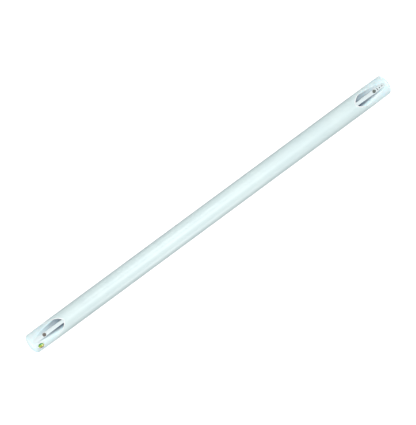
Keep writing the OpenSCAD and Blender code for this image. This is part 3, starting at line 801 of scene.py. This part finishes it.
def spine_bar(end, node):
    """A bar flush with the nose, its long edges eased, with a hole for the button."""
    tip = SCOOP_END + SPINE_START
    stop = end.arch + SCOOP_UNDER
    tip_part = tip + (SPINE_W_TIP / 2) * (1 - np.cos(np.linspace(0, math.pi / 2, 25)))
    stations = np.concatenate([tip_part[1:], np.linspace(tip_part[-1], stop, 150)[1:]])
    rows = []
    for inward in stations:
        half = float(spine_half_width(end, inward))
        floor = end.floor(inward) - SPINE_SEAT
        e = min(SPINE_EASE, half * 0.9)
        flat = np.linspace(-half + e, half - e, 13)[1:-1]
        profile_y = [-half] + [-half + e * (1 - math.cos(t)) for t in np.linspace(0, math.pi / 2, 6)]
        profile_drop = [None] + [e * (1 - math.sin(t)) for t in np.linspace(0, math.pi / 2, 6)]
        profile_y += list(flat) + [-y for y in reversed(profile_y)]
        profile_drop += [0.0] * len(flat) + list(reversed(profile_drop))
        row = []
        for y, fall in zip(profile_y, profile_drop):
            if fall is None:
                z = floor
            else:
                top = math.sqrt(SPINE_TOP_R ** 2 - y * y)
                z = min(top, spine_roof(end, inward)) - fall
            row.append(end.place(inward, y, z))
        rows.append(row)
    start = end.place(tip, 0.0, end.floor(tip))
    finish = end.place(stop, 0.0, end.floor(stop) + 2)
    vertices, faces = skin(rows, start, finish)
    mesh = solid_mesh(node, vertices, faces)
    radius = end.button_d / 2 + BUTTON_GAP
    chamfer = 0.25
    past = 0.1
    wide_r = radius + chamfer + past
    hole = turned([(0, 0), (radius, 0), (radius, SPINE_TOP_R - chamfer), (wide_r, SPINE_TOP_R + past),
                   (wide_r, PAST_SURFACE), (0, PAST_SURFACE)], upright(end, end.button_at))
    finish_piece(node + "_bar", cut_with(mesh, [hole]), [node], 40.0)


spine_bar(HEAD, "head_spine")
spine_bar(GRIP, "grip_spine")


# ---- buttons, marks and lens ----

def push_button(end, node):
    """A cap with a flange below, a rounded rim and a dished top."""
    r = end.button_d / 2
    low = end.floor(end.button_at) - SPINE_SEAT - FLANGE_DOWN - BUTTON_FLANGE_T
    profile = [(0, low), (BUTTON_FLANGE_R, low), (BUTTON_FLANGE_R, low + BUTTON_FLANGE_T),
               (r, low + BUTTON_FLANGE_T)]
    profile += rounded((r - BUTTON_ROUND, BUTTON_TOP - BUTTON_ROUND), BUTTON_ROUND, 0, 90)
    profile += [(r * share, BUTTON_TOP - BUTTON_DISH * (1 - (share / 0.8) ** 2))
                for share in (0.7, 0.5, 0.35, 0.2, 0.1)]
    profile += [(0, BUTTON_TOP - BUTTON_DISH)]
    vertices, faces = turned(profile, upright(end, end.button_at))
    piece_from(node + "_cap", vertices, faces, [node])


push_button(HEAD, "head_button")
push_button(GRIP, "power_button")


def indicator_marks(end):
    """One short bar and two dots, each a light pipe with a softly domed end."""
    vertices, faces = [], []
    steps = ((1, -MARK_DEPTH), (1, -0.08), (0.97, -0.02), (0.88, MARK_PROUD * 0.6), (0.6, MARK_PROUD),
             (0.3, MARK_PROUD))

    def add(inward, half_x, half_y, corner):
        outline = []
        for sx, sy, start in ((1, 1, 0), (-1, 1, 90), (-1, -1, 180), (1, -1, 270)):
            outline += rounded((sx * (half_x - corner), sy * (half_y - corner)), corner, start, 90, 8)
        rows = []
        for scale, lift in steps:
            row = []
            for dx, dy in outline:
                y = dy * scale
                z = math.sqrt(SPINE_TOP_R ** 2 - y * y) + lift
                row.append(end.place(inward + dx * scale, y, z))
            rows.append(row)
        low = end.place(inward, 0.0, SPINE_TOP_R - MARK_DEPTH)
        high = end.place(inward, 0.0, SPINE_TOP_R + MARK_PROUD)
        more, more_faces = skin(rows, low, high)
        shift = len(vertices)
        vertices.extend(more)
        faces.extend(tuple(k + shift for k in face) for face in more_faces)

    add(BAR_MARK[0], BAR_MARK[1] / 2, BAR_MARK[2] / 2, 0.5)
    for inward, radius in DOT_MARKS:
        add(inward, radius, radius, radius - 1e-3)
    piece_from("indicator_windows_inset", vertices, faces, ["indicator_windows"])


indicator_marks(GRIP)


def lens_bezel():
    outer_round, inner_round = 0.4, 0.3
    inner = LENS_R + LENS_FIT
    profile = [(LENS_R - LENS_LEDGE, BEZEL_FOOT), (BEZEL_R, BEZEL_FOOT)]
    profile += rounded((BEZEL_R - outer_round, BEZEL_FACE - outer_round), outer_round, 0, 90)
    profile += rounded((inner + inner_round, BEZEL_FACE - inner_round), inner_round, 90, 90)
    profile += [(inner, LENS_SEAT), (LENS_R - LENS_LEDGE, LENS_SEAT)]
    turns = np.linspace(0, 2 * math.pi, 128, endpoint=False)
    rows = [[LENS_PLACE @ Vector((r * math.cos(t) * MM, r * math.sin(t) * MM, h * MM)) for t in turns]
            for r, h in profile]
    # Its outer edge is brought down flush with the round nose.
    for row in rows:
        for corner in row:
            reach = math.hypot(corner.y, corner.z)
            if reach > SEAL_R * MM:
                corner.yz = (corner.y * SEAL_R * MM / reach, corner.z * SEAL_R * MM / reach)
    vertices, faces = skin(rows, loop=True)
    piece_from("lens_bezel_ring", vertices, faces, ["lens_bezel"])


def front_lens():
    """A disc with a crowned face."""
    sag = LENS_CROWN - LENS_EDGE
    crown_r = (LENS_R ** 2 + sag ** 2) / (2 * sag)
    sweep = math.asin(LENS_R / crown_r)
    crown = [(crown_r * math.sin(t), LENS_CROWN - crown_r + crown_r * math.cos(t))
             for t in np.linspace(sweep, 0, 24)]
    vertices, faces = turned([(0, LENS_SEAT), (LENS_R, LENS_SEAT), *crown], LENS_PLACE, 128)
    piece_from("front_lens_glass", vertices, faces, ["front_lens"])


lens_bezel()
front_lens()


# ---- screws: one countersunk screw, placed round the barrel with Geometry Nodes ----

def screw_ring_tree():
    tree = bpy.data.node_groups.new("screws round the barrel", "GeometryNodeTree")
    face = tree.interface
    face.new_socket("Geometry", in_out="INPUT", socket_type="NodeSocketGeometry")
    face.new_socket("Geometry", in_out="OUTPUT", socket_type="NodeSocketGeometry")
    face.new_socket("Count", in_out="INPUT", socket_type="NodeSocketInt")
    for name in ("Along", "First Turn", "Turn Step", "Face Radius"):
        face.new_socket(name, in_out="INPUT", socket_type="NodeSocketFloat")
    face.new_socket("Material", in_out="INPUT", socket_type="NodeSocketMaterial")
    given = add_node(tree, "NodeGroupInput").outputs
    points = add_node(tree, "GeometryNodePoints", {"Count": given["Count"]})
    index = add_node(tree, "GeometryNodeInputIndex").outputs[0]
    turn = add_node(tree, "ShaderNodeMath", {0: index, 1: given["Turn Step"], 2: given["First Turn"]},
                    operation="MULTIPLY_ADD").outputs[0]
    rotation = add_node(tree, "ShaderNodeCombineXYZ", {"X": turn})
    screws = add_node(tree, "GeometryNodeInstanceOnPoints",
                      {"Points": points.outputs[0], "Instance": given["Geometry"]})
    outward = add_node(tree, "ShaderNodeMath", {0: given["Face Radius"], 1: -1.0}, operation="MULTIPLY")
    offset = add_node(tree, "ShaderNodeCombineXYZ", {"X": given["Along"], "Z": outward.outputs[0]})
    pushed = add_node(tree, "GeometryNodeTranslateInstances",
                      {"Instances": screws.outputs[0], "Translation": offset.outputs[0]})
    turned_round = add_node(tree, "GeometryNodeRotateInstances",
                            {"Instances": pushed.outputs[0], "Rotation": rotation.outputs[0],
                             "Local Space": False})
    real = add_node(tree, "GeometryNodeRealizeInstances", {"Geometry": turned_round.outputs[0]})
    painted = add_node(tree, "GeometryNodeSetMaterial",
                       {"Geometry": real.outputs[0], "Material": given["Material"]})
    add_node(tree, "NodeGroupOutput", {"Geometry": painted.outputs[0]})
    return tree


def countersunk_screw():
    """A cross-slotted screw, its head's face at the origin and facing -Z."""
    shank_r = SCREW_SHANK_R
    profile = [(0, 0), (SCREW_HEAD_R - 0.15, 0), (SCREW_HEAD_R, -0.12), (shank_r, -SCREW_HEAD_H)]
    for k in range(8):
        profile += [(shank_r, -SCREW_HEAD_H - (k + 1) * SCREW_PITCH),
                    (shank_r - 0.16, -SCREW_HEAD_H - (k + 1.5) * SCREW_PITCH)]
    profile += [(shank_r - 0.3, -SCREW_LENGTH), (0, -SCREW_LENGTH)]
    vertices, faces = turned(profile, Matrix.Rotation(math.pi, 4, "X"), 48)
    mesh = solid_mesh("screw", vertices, faces)
    slots = []
    box_faces = [(0, 1, 2, 3), (4, 5, 6, 7), (0, 1, 5, 4), (1, 2, 6, 5), (2, 3, 7, 6), (3, 0, 4, 7)]
    for turn in (0, 90):
        place = Matrix.Rotation(math.radians(turn), 4, "Z")
        corners = [place @ Vector((x * MM, y * MM, z * MM)) for z in (-0.5, 0.75)
                   for x, y in ((-1.35, -0.3), (1.35, -0.3), (1.35, 0.3), (-1.35, 0.3))]
        slots.append((corners, box_faces))
    return cut_with(mesh, slots)


SCREWS = screw_ring_tree()
for end, node in ((HEAD, "head_screws"), (GRIP, "grip_screws")):
    values = {"Count": len(SCREW_TURNS), "Along": end.x(end.arch + SCREW_INBOARD) * MM,
              "First Turn": math.radians(SCREW_TURNS[0]),
              "Turn Step": math.radians(SCREW_TURNS[1] - SCREW_TURNS[0]),
              "Face Radius": SCREW_FACE_R * MM, "Material": FINISH[SLOT_OF[node]]}
    finish_piece(node + "_set", grown(SCREWS, values, countersunk_screw()), [node], 30.0)


# ---- CAD nodes that keep their own shape get their finish ----

for node, obj in frame["nodes"].items():
    obj.data.materials.clear()
    obj.data.materials.append(FINISH[SLOT_OF[node]])


# ---- floor, light and camera ----

def studio_floor(half=4.0):
    level = cad_low[2]
    mesh = bpy.data.meshes.new("floor")
    corners = [(-half, -half, level), (half, -half, level), (half, half, level), (-half, half, level)]
    mesh.from_pydata(corners, [], [(0, 1, 2, 3)])
    mesh.materials.append(pale_floor())
    floor = bpy.data.objects.new("floor", mesh)
    bpy.context.scene.collection.objects.link(floor)


def studio_world():
    """White to the camera; the room itself adds almost no light."""
    world = bpy.data.worlds.new("studio")
    world.use_nodes = True
    tree = world.node_tree
    background = tree.nodes["Background"]
    background.inputs["Color"].default_value = (1, 1, 1, 1)
    seen = add_node(tree, "ShaderNodeLightPath").outputs["Is Camera Ray"]
    room = add_node(tree, "ShaderNodeMapRange", {"Value": seen, "To Min": 0.03, "To Max": 1.0})
    tree.links.new(room.outputs["Result"], background.inputs["Strength"])
    bpy.context.scene.world = world


def soft_box(name, place, size, watts):
    """A square lamp that faces the cane's middle."""
    light = bpy.data.lights.new(name, "AREA")
    light.shape = "SQUARE"
    light.size = size
    light.energy = watts
    lamp = bpy.data.objects.new(name, light)
    lamp.location = place
    lamp.rotation_euler = Vector(place).to_track_quat("Z", "Y").to_euler()
    bpy.context.scene.collection.objects.link(lamp)


studio_floor()
studio_world()
soft_box("key light", (0.0, 0.80, 1.386), 0.3, 9.5)
soft_box("low fill", (0.0, -1.6, 0.2), 0.3, 7.2)
soft_box("low fill behind", (0.0, 1.6, 0.2), 0.3, 1.6)
soft_box("overhead softbox", (0.0, -0.25, 1.58), 0.6, 14.5)
soft_box("head end softbox", (-1.5, 0.0, 0.25), 0.5, 10)
soft_box("grip end softbox", (1.5, 0.0, 0.25), 0.5, 10)

# The cane as the camera sees it: its tilts, how steeply it rises, and where the view's middle lies on it.
CAMERA_DISTANCE = 2.6
CAMERA_TILT = math.radians(4.1)
CAMERA_ROLL = math.radians(3.0)
AXIS_RISE = math.radians(36.41)
VIEW_WIDTH = 582.4
AIM_X = -3.8
SHIFT_RIGHT = 0.434
SHIFT_UP = 3.22
SENSOR_WIDTH = 36


def add_camera():
    toward = Vector((-math.tan(CAMERA_TILT), -math.tan(CAMERA_ROLL), 1)).normalized()
    along = (Vector((1, 0, 0)) - toward.x * toward).normalized()
    beside = toward.cross(along)
    right = math.cos(AXIS_RISE) * along - math.sin(AXIS_RISE) * beside
    up = toward.cross(right)
    data = bpy.data.cameras.new("camera")
    data.sensor_fit = "HORIZONTAL"
    data.sensor_width = SENSOR_WIDTH
    data.lens = SENSOR_WIDTH * CAMERA_DISTANCE / (VIEW_WIDTH * MM)
    camera = bpy.data.objects.new("camera", data)
    aim = Vector((AIM_X * MM, 0, 0)) + SHIFT_RIGHT * MM * right + SHIFT_UP * MM * up
    place = aim + CAMERA_DISTANCE * toward
    camera.matrix_world = Matrix.Translation(place) @ Matrix((right, up, toward)).transposed().to_4x4()
    bpy.context.scene.collection.objects.link(camera)
    bpy.context.scene.camera = camera


add_camera()
bpy.context.scene.view_settings.view_transform = "Standard"
